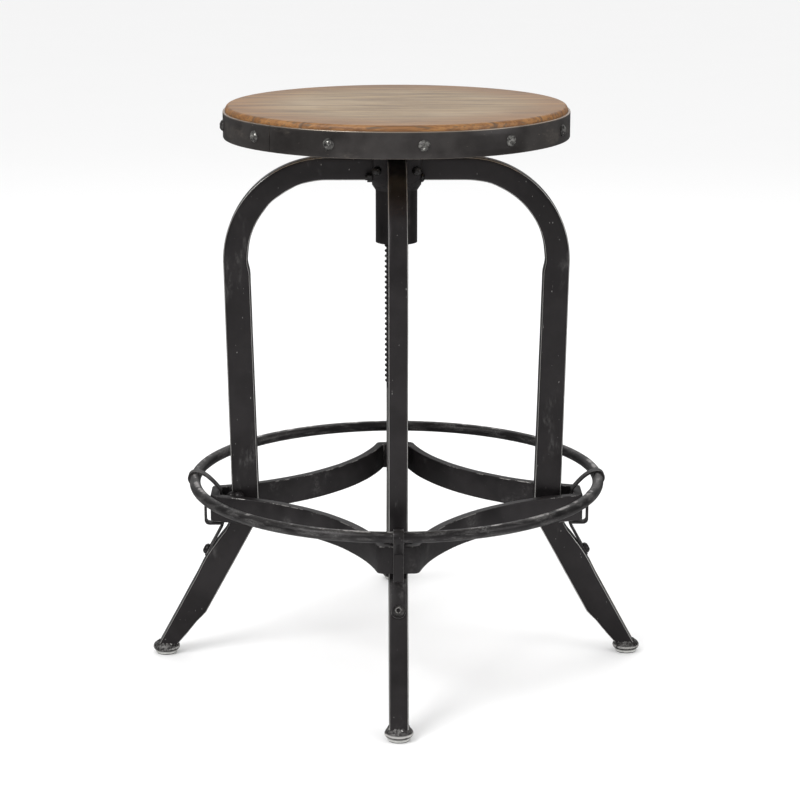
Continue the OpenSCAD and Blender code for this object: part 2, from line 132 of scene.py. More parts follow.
# scattered rubs and small chips on broad faces
def makeScuffs():
    group, start, end = newGroup("scuffs",
        [("Amount", "NodeSocketFloat", 0.5), ("Size", "NodeSocketFloat", 25.0),
         ("Stretch", "NodeSocketVector", (1.0, 1.0, 1.0))],
        [("Rubs", "NodeSocketFloat"), ("Chips", "NodeSocketFloat")])
    where = group.nodes.new("ShaderNodeTexCoord")
    place = addNode(group, "ShaderNodeVectorMath", {"operation": "MULTIPLY"},
                    i0=where.outputs["Object"], i1=start.outputs["Stretch"]).outputs[0]
    broad = noiseAt(group, place, start.outputs["Size"], 5.0, 0.6, 0.4)
    grain = noiseAt(group, place, maths(group, "MULTIPLY", start.outputs["Size"], 14.0), 3.0, 0.7)
    lift = maths(group, "MULTIPLY", start.outputs["Amount"], 0.3)
    rubs = maths(group, "MULTIPLY", ramp(group, maths(group, "ADD", broad, lift), 0.62, 0.86),
                 ramp(group, grain, 0.35, 0.7))
    spots = noiseAt(group, place, maths(group, "MULTIPLY", start.outputs["Size"], 22.0), 2.0, 0.5)
    nicks = maths(group, "ADD", spots, maths(group, "MULTIPLY", start.outputs["Amount"], 0.06))
    chips = ramp(group, nicks, 0.755, 0.79)
    group.links.new(rubs, end.inputs["Rubs"])
    group.links.new(chips, end.inputs["Chips"])
    return group


# pale dust that settles on faces that look up
def makeDust():
    group, start, end = newGroup("dust", [("Amount", "NodeSocketFloat", 0.3)], [("Mask", "NodeSocketFloat")])
    geometry = group.nodes.new("ShaderNodeNewGeometry")
    up = addNode(group, "ShaderNodeSeparateXYZ", Vector=geometry.outputs["Normal"]).outputs["Z"]
    place = stretched(group, (1, 1, 1), (0.3, 0.1, 0.2))
    cloud = maths(group, "ADD", maths(group, "MULTIPLY", noiseAt(group, place, 40.0, 6.0, 0.6), 0.7),
                  maths(group, "MULTIPLY", noiseAt(group, place, 600.0, 2.0), 0.3))
    mask = maths(group, "MULTIPLY", ramp(group, up, 0.3, 0.95), ramp(group, cloud, 0.35, 0.75))
    group.links.new(maths(group, "MULTIPLY", mask, start.outputs["Amount"]), end.inputs["Mask"])
    return group


# slow hammered unevenness and fine pitting, as a height in one value
def makeForged():
    group, start, end = newGroup("forged", [("Swell", "NodeSocketFloat", 0.5), ("Pits", "NodeSocketFloat", 0.5)],
                                 [("Height", "NodeSocketFloat"), ("Shade", "NodeSocketFloat")])
    place = stretched(group, (1, 1, 1), (0.05, 0.4, 0.15))
    swell = noiseAt(group, place, 55.0, 2.0, 0.5)
    pits = noiseAt(group, place, 1400.0, 3.0, 0.65)
    height = maths(group, "ADD", maths(group, "MULTIPLY", swell, start.outputs["Swell"]),
                   maths(group, "MULTIPLY", pits, start.outputs["Pits"]))
    group.links.new(height, end.inputs["Height"])
    group.links.new(noiseAt(group, place, 18.0, 6.0, 0.6), end.inputs["Shade"])
    return group


edgeWear, scuffs, dust, forged = makeEdgeWear(), makeScuffs(), makeDust(), makeForged()


def placed(tree, group, **values):
    node = tree.nodes.new("ShaderNodeGroup")
    node.node_tree = group
    for key, value in values.items():
        node.inputs[key.replace("_", " ")].default_value = value
    return node


def newMaterial(name):
    material = bpy.data.materials.new(name)
    material.use_nodes = True
    tree = material.node_tree
    return material, tree, tree.nodes["Principled BSDF"]


steelLooks = {
    "legSteel": dict(dark=(0.0052, 0.0044, 0.0046), light=(0.013, 0.0115, 0.012), bright=(0.62, 0.61, 0.59),
                     gloss=0.34, wear=0.88, rub=0.14, dusty=0.08, swell=0.25, pits=0.14, stretch=(1.0, 1.0, 0.35)),
    "braceSteel": dict(dark=(0.0062, 0.0055, 0.0058), light=(0.018, 0.0162, 0.0168), bright=(0.32, 0.31, 0.30),
                       gloss=0.38, wear=0.5, rub=0.2, dusty=0.05, swell=0.4, pits=0.25, stretch=(1.0, 1.0, 1.0)),
    "ringSteel": dict(dark=(0.005, 0.0046, 0.0048), light=(0.016, 0.015, 0.0152), bright=(0.42, 0.41, 0.40),
                      gloss=0.34, wear=0.5, rub=0.6, dusty=0.12, swell=0.35, pits=0.35, stretch=(1.6, 1.6, 8.0)),
    "clipSteel": dict(dark=(0.006, 0.0054, 0.0056), light=(0.016, 0.0148, 0.015), bright=(0.42, 0.41, 0.40),
                      gloss=0.34, wear=0.85, rub=0.5, dusty=0.15, swell=0.3, pits=0.3, stretch=(1.0, 1.0, 0.5)),
    "bandSteel": dict(dark=(0.014, 0.0125, 0.0118), light=(0.034, 0.031, 0.0295), bright=(0.42, 0.36, 0.30),
                      gloss=0.33, wear=0.85, rub=0.3, dusty=0.1, swell=0.3, pits=0.14, stretch=(0.5, 0.5, 1.6)),
    "footIron": dict(dark=(0.0045, 0.0042, 0.0043), light=(0.014, 0.013, 0.013), bright=(0.6, 0.59, 0.57),
                     gloss=0.26, wear=0.6, rub=0.8, dusty=0.1, swell=0.8, pits=0.6, stretch=(1.0, 1.0, 1.0)),
    "hubSteel": dict(dark=(0.0058, 0.0052, 0.0053), light=(0.015, 0.0132, 0.0138), bright=(0.25, 0.24, 0.23),
                     gloss=0.34, wear=0.5, rub=0.25, dusty=0.05, swell=0.3, pits=0.3, stretch=(1.0, 1.0, 1.0)),
    "spindleSteel": dict(dark=(0.004, 0.0037, 0.0036), light=(0.011, 0.0104, 0.01), bright=(0.30, 0.29, 0.28),
                         gloss=0.30, wear=0.42, rub=0.2, dusty=0.0, swell=0.1, pits=0.15, stretch=(1.0, 1.0, 2.0)),
    "boltSteel": dict(dark=(0.005, 0.0046, 0.0046), light=(0.014, 0.0132, 0.013), bright=(0.4, 0.39, 0.37),
                      gloss=0.26, wear=0.5, rub=0.4, dusty=0.05, swell=0.4, pits=0.2, stretch=(1.0, 1.0, 1.0)),
    "rivetSteel": dict(dark=(0.008, 0.0078, 0.0076), light=(0.03, 0.029, 0.028), bright=(0.62, 0.61, 0.57),
                       gloss=0.2, wear=0.48, rub=0.7, dusty=0.0, swell=1.2, pits=0.4, stretch=(1.0, 1.0, 1.0)),
}


# blackened steel: two shades of dark, rubbed arrises, rubs and chips, a little dust, uneven gloss
def makeSteel(name):
    look = steelLooks[name]
    material, tree, shader = newMaterial(name)
    surface = placed(tree, forged, Swell=look["swell"], Pits=look["pits"])
    worn = placed(tree, edgeWear, Amount=look["wear"])
    marks = placed(tree, scuffs, Amount=look["rub"], Stretch=look["stretch"])
    settled = placed(tree, dust, Amount=look["dusty"])
    colour = mixColour(tree, ramp(tree, surface.outputs["Shade"], 0.35, 0.7), (*look["dark"], 1), (*look["light"], 1))
    bare = maths(tree, "MAXIMUM", worn.outputs["Mask"],
                 maths(tree, "MAXIMUM", maths(tree, "MULTIPLY", marks.outputs["Rubs"], 0.3),
                       maths(tree, "MULTIPLY", marks.outputs["Chips"], 0.5)))
    colour = mixColour(tree, bare, colour, (*look["bright"], 1))
    colour = mixColour(tree, maths(tree, "MULTIPLY", settled.outputs["Mask"], 0.12), colour, (0.5, 0.47, 0.43, 1))
    tree.links.new(colour, shader.inputs["Base Color"])
    uneven = maths(tree, "MULTIPLY_ADD", surface.outputs["Shade"], 0.22, look["gloss"] - 0.11)
    uneven = maths(tree, "MULTIPLY_ADD", marks.outputs["Rubs"], 0.15, uneven)
    uneven = maths(tree, "MULTIPLY_ADD", settled.outputs["Mask"], 0.25, uneven, clamp=True)
    tree.links.new(uneven, shader.inputs["Roughness"])
    tree.links.new(maths(tree, "MULTIPLY", bare, 0.9), shader.inputs["Metallic"])
    shader.inputs["Specular IOR Level"].default_value = 0.3
    shader.inputs["Specular Tint"].default_value = (1.0, 0.955, 0.97, 1.0)
    bump = addNode(tree, "ShaderNodeBump", Height=surface.outputs["Height"], Strength=0.35, Distance=0.0006)
    tree.links.new(bump.outputs["Normal"], shader.inputs["Normal"])
    return material


steels = {name: makeSteel(name) for name in steelLooks}

woodLook = {"plankWidth": 0.046, "firstPlank": 40.3, "top": (0.34, 0.236, 0.13), "topDark": (0.125, 0.08, 0.04),
            "topPale": (0.385, 0.29, 0.185), "edge": (0.31, 0.145, 0.042), "edgeDark": (0.16, 0.066, 0.019),
            "streak": (0.105, 0.066, 0.036), "seam": (0.10, 0.06, 0.035),
            "streakStrength": 0.75, "seamStrength": 0.75,
            "rimFrom": 0.1775, "rimTo": 0.1808, "warmFrom": 0.125, "warmTo": 0.2, "warmth": 0.75,
            "ringStretch": 16.0, "fibreStretch": 60.0, "streakStretch": 34.0, "gloss": 0.42}


# edge-glued planks along X, greyed where people sit and still oiled orange at the rim
def makeWood():
    look = woodLook
    material, tree, shader = newMaterial("seatWood")
    where = tree.nodes.new("ShaderNodeTexCoord").outputs["Object"]
    parts = addNode(tree, "ShaderNodeSeparateXYZ", Vector=where)
    across = maths(tree, "DIVIDE", parts.outputs["Y"], look["plankWidth"])
    across = maths(tree, "ADD", across, look["firstPlank"])
    plank = maths(tree, "FLOOR", across)
    inPlank = maths(tree, "FRACT", across)
    seam = maths(tree, "MINIMUM", inPlank, maths(tree, "SUBTRACT", 1.0, inPlank))
    tone = addNode(tree, "ShaderNodeTexWhiteNoise", {"noise_dimensions": "1D"}, W=plank).outputs["Value"]
    shift = addNode(tree, "ShaderNodeCombineXYZ", X=maths(tree, "MULTIPLY", tone, 3.0),
                    Y=maths(tree, "MULTIPLY", plank, 0.37)).outputs[0]
    moved = addNode(tree, "ShaderNodeVectorMath", {"operation": "ADD"}, i0=where, i1=shift).outputs[0]

    def alongGrain(stretch):
        return addNode(tree, "ShaderNodeMapping", Vector=moved, Scale=(1.0, stretch, stretch)).outputs[0]

    rings = noiseAt(tree, alongGrain(look["ringStretch"]), 9.0, 6.0, 0.6, 0.8)
    fibres = noiseAt(tree, alongGrain(look["fibreStretch"]), 14.0, 4.0, 0.7)
    streaks = noiseAt(tree, alongGrain(look["streakStretch"]), 8.0, 3.0, 0.5, 0.3)
    grain = maths(tree, "ADD", maths(tree, "MULTIPLY", rings, 0.6), maths(tree, "MULTIPLY", fibres, 0.4))
    darkLine = ramp(tree, streaks, 0.585, 0.63)
    level = addNode(tree, "ShaderNodeCombineXYZ", X=parts.outputs["X"], Y=parts.outputs["Y"]).outputs[0]
    radial = addNode(tree, "ShaderNodeVectorMath", {"operation": "LENGTH"}, i0=level).outputs["Value"]
    blotch = noiseAt(tree, where, 12.0, 4.0, 0.55)
    rim = ramp(tree, maths(tree, "MULTIPLY_ADD", blotch, 0.004, radial), look["rimFrom"], look["rimTo"])
    warm = ramp(tree, maths(tree, "MULTIPLY_ADD", blotch, 0.05, radial), look["warmFrom"], look["warmTo"])
    warm = maths(tree, "MULTIPLY", warm, look["warmth"])
    top = mixColour(tree, ramp(tree, grain, 0.36, 0.56), (*look["topDark"], 1), (*look["top"], 1))
    top = mixColour(tree, maths(tree, "MULTIPLY", ramp(tree, blotch, 0.4, 0.7), 0.55), top, (*look["topPale"], 1))
    top = mixColour(tree, maths(tree, "MULTIPLY", tone, 0.28), top, (*look["topDark"], 1))
    edge = mixColour(tree, ramp(tree, grain, 0.4, 0.6), (*look["edgeDark"], 1), (*look["edge"], 1))
    top = mixColour(tree, warm, top, edge)  # the oil has kept its colour towards the rim
    colour = mixColour(tree, rim, top, edge)
    colour = mixColour(tree, maths(tree, "MULTIPLY", darkLine, look["streakStrength"]), colour, (*look["streak"], 1))
    joints = maths(tree, "MULTIPLY", ramp(tree, seam, 0.035, 0.012), look["seamStrength"])
    colour = mixColour(tree, joints, colour, (*look["seam"], 1))
    tree.links.new(colour, shader.inputs["Base Color"])
    tree.links.new(maths(tree, "MULTIPLY_ADD", grain, 0.25, look["gloss"] - 0.05), shader.inputs["Roughness"])
    height = maths(tree, "SUBTRACT", grain, maths(tree, "MULTIPLY", ramp(tree, seam, 0.03, 0.0), 1.2))
    bump = addNode(tree, "ShaderNodeBump", Height=height, Strength=0.45, Distance=0.0006)
    tree.links.new(bump.outputs["Normal"], shader.inputs["Normal"])
    return material


plainLooks = {
    "glidePlastic": dict(a=(0.55, 0.55, 0.53), b=(0.42, 0.42, 0.40), size=160.0, rough=0.45, metal=0.0, bump=0.2),
    # near-black sole under each glide: partly a rubber sole, partly painted shadow standing in for the dark line
    # along the glide's bottom edge
    "soleRubberAndShadow": dict(a=(0.012, 0.012, 0.012), b=(0.03, 0.03, 0.029), size=300.0, rough=0.8, metal=0.0, bump=0.4),
    "washerPlastic": dict(a=(0.014, 0.014, 0.014), b=(0.022, 0.022, 0.022), size=250.0, rough=0.5, metal=0.0,
                          bump=0.2),
    "bushPlastic": dict(a=(0.62, 0.60, 0.54), b=(0.52, 0.50, 0.44), size=120.0, rough=0.42, metal=0.0, bump=0.1),
    "nutBrass": dict(a=(0.60, 0.42, 0.16), b=(0.42, 0.28, 0.10), size=90.0, rough=0.3, metal=1.0, bump=0.3),
    "screwZinc": dict(a=(0.52, 0.52, 0.53), b=(0.36, 0.36, 0.37), size=200.0, rough=0.3, metal=1.0, bump=0.3),
}


def makePlain(name):
    look = plainLooks[name]
    material, tree, shader = newMaterial(name)
    place = stretched(tree, (1, 1, 1))
    cloud = noiseAt(tree, place, look["size"], 5.0, 0.6)
    settled = placed(tree, dust, Amount=0.25)
    colour = mixColour(tree, ramp(tree, cloud, 0.35, 0.65), (*look["a"], 1), (*look["b"], 1))
    colour = mixColour(tree, maths(tree, "MULTIPLY", settled.outputs["Mask"], 0.2), colour, (0.45, 0.43, 0.4, 1))
    tree.links.new(colour, shader.inputs["Base Color"])
    tree.links.new(maths(tree, "MULTIPLY_ADD", cloud, 0.2, look["rough"] - 0.1), shader.inputs["Roughness"])
    shader.inputs["Metallic"].default_value = look["metal"]
    bump = addNode(tree, "ShaderNodeBump", Height=cloud, Strength=look["bump"], Distance=0.0003)
    tree.links.new(bump.outputs["Normal"], shader.inputs["Normal"])
    return material


seatWood = makeWood()
plains = {name: makePlain(name) for name in plainLooks}
print("finishes made")


# everything is modelled in millimetres and brought to metres here, when a piece is finished
def finishPiece(bm, name, material, body, replaced=(), creaseAngle=38):
    bmesh.ops.remove_doubles(bm, verts=bm.verts, dist=0.004)
    bmesh.ops.recalc_face_normals(bm, faces=bm.faces)
    bmesh.ops.scale(bm, vec=(0.001, 0.001, 0.001), verts=bm.verts)
    mesh = bpy.data.meshes.new(name)
    bm.to_mesh(mesh)
    bm.free()
    mesh.shade_smooth()
    mesh.set_sharp_from_angle(angle=math.radians(creaseAngle))
    mesh.materials.append(material)
    piece = bpy.data.objects.new(name, mesh)
    bpy.context.scene.collection.objects.link(piece)
    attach(piece, body)
    if replaced:
        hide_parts(*replaced)
    return piece


def turned(bm, degrees, verts=None):
    bmesh.ops.rotate(bm, cent=(0, 0, 0), matrix=Matrix.Rotation(math.radians(degrees), 3, "Z"),
                     verts=verts or bm.verts)


def wearOf(bm):
    return bm.verts.layers.float.get("wear") or bm.verts.layers.float.new("wear")


def sharpEdges(bm, degrees):
    return [e for e in bm.edges if len(e.link_faces) == 2 and e.calc_face_angle(0) > math.radians(degrees)]


# rounds the given edges and marks the middle of each rounding as worn
def bevelWorn(bm, edges, width, segments):
    wear = wearOf(bm)
    made = bmesh.ops.bevel(bm, geom=edges, offset=width, offset_type="OFFSET", affect="EDGES", segments=segments,
                           profile=0.5, material=-1, clamp_overlap=True)
    band = set(made["faces"])
    for vert in made["verts"]:
        vert[wear] = 1.0 if all(f in band for f in vert.link_faces) else 0.0


# joins points into a chain of edges, given as (x, z)
def chain(bm, points, closed=False):
    verts = [bm.verts.new((x, 0, z)) for x, z in points]
    edges = [bm.edges.new(pair) for pair in zip(verts, verts[1:])]
    if closed:
        edges.append(bm.edges.new((verts[-1], verts[0])))
    return verts, edges


# turns a profile of (radius, height, worn) about a vertical axis
def lathe(bm, profile, steps):
    wear = wearOf(bm)
    verts, edges = chain(bm, [(r, z) for r, z, w in profile])
    for vert, (r, z, w) in zip(verts, profile):
        vert[wear] = w
    bmesh.ops.spin(bm, geom=verts + edges, cent=(0, 0, 0), axis=(0, 0, 1), angle=math.tau, steps=steps,
                   use_merge=True)
    bmesh.ops.remove_doubles(bm, verts=bm.verts, dist=0.002)


def growLoop(bm, loop, place):
    grown = bmesh.ops.extrude_edge_only(bm, edges=loop)["geom"]
    fresh = {g for g in grown if isinstance(g, bmesh.types.BMVert)}
    for vert in fresh:
        place(vert)
    return [g for g in grown if isinstance(g, bmesh.types.BMEdge) and g.verts[0] in fresh and g.verts[1] in fresh]


# a gentle bump of the surface: pushes what lies near a point
def dent(bm, centre, radius, push):
    middle, shift = Vector(centre), Vector(push)
    for vert in bm.verts:
        near = (vert.co - middle).length / radius
        if near < 1:
            vert.co += shift * (1 - near * near) ** 2


def roughen(verts, amount, size, seed):
    for vert in verts:
        vert.co += vert.normal * amount * noise.noise(vert.co / size + Vector((seed, seed * 1.7, -seed)))


seatShape = {"radius": 180.0, "underside": 585.0, "top": 610.0, "rounding": 4.6, "flare": 4.0}


def makeSeatBoard():
    s = seatShape
    bm = bmesh.new()
    rounding = [(s["radius"] - s["flare"] * (1 - math.cos(a)), s["top"] - s["rounding"] * (1 - math.sin(a)), 0.0)
                for a in (math.radians(i * 15) for i in range(7))]  # every 15 degrees of the quarter turn
    profile = [(0, s["underside"], 0), (60, s["underside"], 0), (s["radius"] - 0.6, s["underside"], 0),
               (s["radius"], s["underside"] + 0.6, 0)]
    profile += rounding + [(150, s["top"], 0), (90, s["top"], 0), (0, s["top"], 0)]
    lathe(bm, profile, 180)
    return finishPiece(bm, "seatBoard", seatWood, "seat", ["seat_board"])


bandShape = {"inside": 180.2, "thickness": 2.5, "bottom": 577.0, "top": 604.0, "edge": 0.7, "gap": 0.8,
             "jointAngle": -134.6}


# a flat bar rolled nearly all the way round, its two ends meeting in a butt joint
def makeSeatBand():
    s = bandShape
    bm = bmesh.new()
    wear = wearOf(bm)
    inner, outer, low, high, e = s["inside"], s["inside"] + s["thickness"], s["bottom"], s["top"], s["edge"]
    section = [(inner, low), (outer - e, low), (outer - e * 0.3, low + e * 0.3), (outer, low + e),
               (outer, low + 7), (outer, high - 7), (outer, high - e), (outer - e * 0.3, high - e * 0.3),
               (outer - e, high), (inner + 0.3, high), (inner, high - 0.3)]
    verts, edges = chain(bm, section, closed=True)
    for index, worn in ((2, 0.8), (6, 0.6), (7, 1.0), (8, 1.0), (9, 1.0)):
        verts[index][wear] = worn
    half = math.degrees(s["gap"] / 2 / outer)
    for vert in verts:
        vert.co.rotate(Matrix.Rotation(math.radians(s["jointAngle"] + half), 3, "Z"))
    first = list(edges)
    made = bmesh.ops.spin(bm, geom=verts + edges, cent=(0, 0, 0), axis=(0, 0, 1),
                          angle=math.radians(360 - 2 * half), steps=240)
    last = [g for g in made["geom_last"] if isinstance(g, bmesh.types.BMEdge)]
    bmesh.ops.contextual_create(bm, geom=first)
    bmesh.ops.contextual_create(bm, geom=last)
    for vert in bm.verts:  # rolled bar is never quite true
        turn = math.atan2(vert.co.y, vert.co.x)
        vert.co.z += 0.18 * math.sin(3 * turn + 0.6) + 0.1 * math.sin(7 * turn)
    return finishPiece(bm, "seatBand", steels["bandSteel"], "seat", ["seat_band"])


rivetShape = {"count": 12, "first": -82.0, "radius": 6.0, "height": 3.6, "seatRadius": 182.7, "level": 590.5}


# hammered button heads, no two alike
def makeRivets():
    s = rivetShape
    bm = bmesh.new()
    wear = wearOf(bm)
    for index in range(s["count"]):
        before = set(bm.verts)
        r, h = s["radius"], s["height"]
        profile = [(0, -1.2, 0), (r - 0.5, -1.2, 0), (r - 0.1, 0, 0), (r, 0.5, 0.2), (r - 0.25, 1.0, 0.3),
                   (r - 1.1, h * 0.55, 0.45), (r - 2.2, h * 0.8, 0.7), (r - 3.6, h * 0.95, 0.95), (0, h, 1.0)]
        lathe(bm, profile, 24)
        fresh = [v for v in bm.verts if v not in before]
        bm.normal_update()
        for vert in fresh:
            if vert.co.z > 0.2:
                bumpy = noise.noise(vert.co / 2.6 + Vector((index * 7.3, 2.0, index * 1.9)))
                push = Vector((vert.co.x * 0.05, vert.co.y * 0.05, 0.55))
                vert.co += push * bumpy * (0.9 if vert.co.z > 1 else 0.3)
                vert.co.z = min(vert.co.z, h)
                vert[wear] = max(0.0, min(1.0, vert[wear] + bumpy * 0.9))
        turn = math.radians(s["first"] + index * 360 / s["count"])
        place = (Matrix.Rotation(turn, 4, "Z") @ Matrix.Translation((s["seatRadius"], 0, s["level"])) @
                 Matrix.Rotation(math.radians(90), 4, "Y"))
        bmesh.ops.transform(bm, matrix=place, verts=fresh)
    return finishPiece(bm, "bandRivets", steels["rivetSteel"], "seat", ["band_rivets"], 50)


spindleShape = {"crest": 12.7, "root": 10.7, "bottom": 302.0, "threadTop": 553.0, "top": 585.0, "pitch": 5.7,
                "steps": 36, "runout": 0.8}


# a right-hand helical thread that fades in and out of a plain core
def makeSpindle():
    s = spindleShape
    bm = bmesh.new()
    wear = wearOf(bm)
    turns = int((s["threadTop"] - s["bottom"] - 5) / s["pitch"])
    base, p, depth = s["bottom"] + 2.5, s["pitch"], s["crest"] - s["root"]
    shape = [(0.0, 0.0, 0.0), (0.22, 0.0, 0.0), (0.42, 0.92, 0.3), (0.47, 1.0, 1.0), (0.68, 1.0, 1.0),
             (0.73, 0.92, 0.3), (0.93, 0.0, 0.0), (1.0, 0.0, 0.0)]  # (share of the pitch, share of the depth, worn)
    verts, edges = chain(bm, [(s["root"] + k * depth, base + f * p) for f, k, w in shape])
    for vert, (f, k, w) in zip(verts, shape):
        vert[wear] = w
    bmesh.ops.spin(bm, geom=verts + edges, cent=(0, 0, 0), axis=(0, 0, 1), dvec=(0, 0, p / s["steps"]),
                   angle=math.tau * turns, steps=s["steps"] * turns)
    bmesh.ops.remove_doubles(bm, verts=bm.verts, dist=0.01)
    total = turns * p
    for vert in bm.verts:
        rise = vert.co.z - base
        fade = min(1.0, rise / (p * s["runout"] * 1.6), (total + p - rise) / (p * s["runout"] * 1.6))
        radius = math.hypot(vert.co.x, vert.co.y)
        wanted = s["root"] - 0.15 + max(0.0, fade) * (radius - s["root"] + 0.15)
        vert.co.x *= wanted / radius
        vert.co.y *= wanted / radius
    r, top = s["root"], s["threadTop"]
    low = s["bottom"]
    lathe(bm, [(0, low, 0), (r - 1.4, low, 0), (r - 0.3, low + 0.5, 1), (r, low + 1.6, 0.2), (r, low + 3, 0),
               (r - 0.1, low + 6, 0), (r - 0.1, top - 4, 0), (r, top - 1, 0), (s["crest"], top + 1, 0),
               (s["crest"], s["top"], 0), (0, s["top"], 0)], 48)
    return finishPiece(bm, "spindleThread", steels["spindleSteel"], "seat", ["spindle"], 40)


legShape = {"width": 20.0, "corner": 2.2, "start": 15.5, "top": 554.5, "reach": 184.8, "bendRadius": 111.2,
            "levelDepth": 24.4, "bendDepth": 26.2, "stemDepth": 27.8, "lean": 1.12, "kneeHeight": 167.2,
            "kneeDepth": 29.3, "splay": 28.5, "shinDepth": 29.0, "dentHeight": 150.3, "dentReach": 183.4,
            "dentEnd": 122.5, "pinchHeight": 49.0, "toeDepth": 21.0, "foot": 12.5, "bendSteps": 30,
            "endZone": 6.0, "unevenness": 0.12}
# heights of the outer and the inner side at each level of the shin
shinLevels = [(186, 186), (178, 176), (172, 170), (167, 164.5), (162, 158.5), (156.5, 152), (150.3, 144.5),
              (143, 136), (136, 127.5), (129, 118.5), (122.5, 110.5), (115, 102), (105, 91.8), (92, 78.8),
              (78, 64.8), (68, 54.5), (62.2, 49), (56, 44.5), (48, 38.5), (38, 31), (28, 23.5), (20, 18)]
# (centre, radius, push) of each soft dent in a leg
legDents = [((158.6, 0, 440.0), 14, (1.3, 0, 0.4)),      # the fold that the squeezed bend ends in
            ((156.8, 0, 428.0), 9, (-0.6, 0, 0)),
            ((100.0, 0, 530.5), 16, (0.5, 0, 1.0)),      # this one shifts a little from leg to leg
            ((135.0, 3, 508.0), 13, (0.7, 0, 0.7)),
            ((186.0, 0, 149.0), 20, (-1.2, 0, -0.7)),    # hollow under the knee
            ((223.0, 0, 38.0), 16, (1.3, 0, 1.0))]       # crease where the toe is pinched
shiftingDent = 2


# the outer and inner side of a leg at every level, as pairs of points (x, z)
def legStations():
    s = legShape
    splay, lean = math.tan(math.radians(s["splay"])), math.tan(math.radians(s["lean"]))
    centreX, centreZ = s["reach"] - s["bendRadius"], s["top"] - s["bendRadius"]
    pairs = [((x, s["top"]), (x, s["top"] - s["levelDepth"]))
             for x in (s["start"], 22, 30, 38, 46, 54, 62, centreX - 5)]
    outer, deeper = s["bendRadius"], s["bendDepth"] - s["levelDepth"]
    for step in range(s["bendSteps"] + 1):
        a = math.radians(90 - step * 90 / s["bendSteps"])
        out = Vector((math.cos(a), math.sin(a)))
        inner = outer - s["levelDepth"] - deeper * (step / s["bendSteps"]) ** 1.5
        pairs.append(((centreX + out.x * outer, centreZ + out.y * outer),
                      (centreX + out.x * inner, centreZ + out.y * inner)))
    kneeX = s["reach"] - (centreZ - s["kneeHeight"]) * lean
    shinLevel = s["shinDepth"] / math.cos(math.radians(s["splay"]))
    kneeIn = s["kneeHeight"] - (shinLevel - s["kneeDepth"]) / splay

    def outerAt(z):
        if z > s["kneeHeight"]:
            return s["reach"] - (centreZ - z) * lean
        if z > s["dentHeight"]:
            fall = (s["kneeHeight"] - z) / (s["kneeHeight"] - s["dentHeight"])
            return kneeX + fall * (s["dentReach"] - kneeX)
        if z > s["dentEnd"]:
            low = kneeX + (s["kneeHeight"] - s["dentEnd"]) * splay
            fall = (s["dentHeight"] - z) / (s["dentHeight"] - s["dentEnd"])
            return s["dentReach"] + fall * (low - s["dentReach"])
        return kneeX + (s["kneeHeight"] - z) * splay

    def innerAt(z):
        if z > kneeIn:
            swell = min(1.0, (centreZ - z) / 14.0)
            stem = s["reach"] - s["bendDepth"] - (s["stemDepth"] - s["bendDepth"]) * swell * swell * (3 - 2 * swell)
            low = s["reach"] - s["stemDepth"]
            fall = (centreZ - z) / (centreZ - kneeIn)
            return stem + (kneeX - s["kneeDepth"] - low) * fall
        if z > s["pinchHeight"]:
            return kneeX - s["kneeDepth"] + (kneeIn - z) * splay
        pinchX = kneeX - s["kneeDepth"] + (kneeIn - s["pinchHeight"]) * splay
        toeX = kneeX + (s["kneeHeight"] - s["foot"]) * splay - s["toeDepth"]
        return pinchX + (s["pinchHeight"] - z) / (s["pinchHeight"] - s["foot"]) * (toeX - pinchX)

    belowBend = (3, 6, 9, 12, 16, 21, 28, 40, 55, 70, 90, 110, 130, 150, 170, 190, 210, 225, 238, 248)
    levels = [(centreZ - d, centreZ - d) for d in belowBend] + shinLevels + [(s["foot"], s["foot"])]
    outers = [outerAt(a) for a, b in levels]
    inners = [innerAt(b) for a, b in levels]
    for sweep in range(2):  # eases the corners of the knee
        softer = list(outers)
        for i in range(1, len(outers) - 1):
            if 100 < levels[i][0] < 190:
                softer[i] = (outers[i - 1] + 2 * outers[i] + outers[i + 1]) / 4
        outers = softer
    pairs += [((x, a), (y, b)) for x, y, (a, b) in zip(outers, inners, levels)]
    return pairs


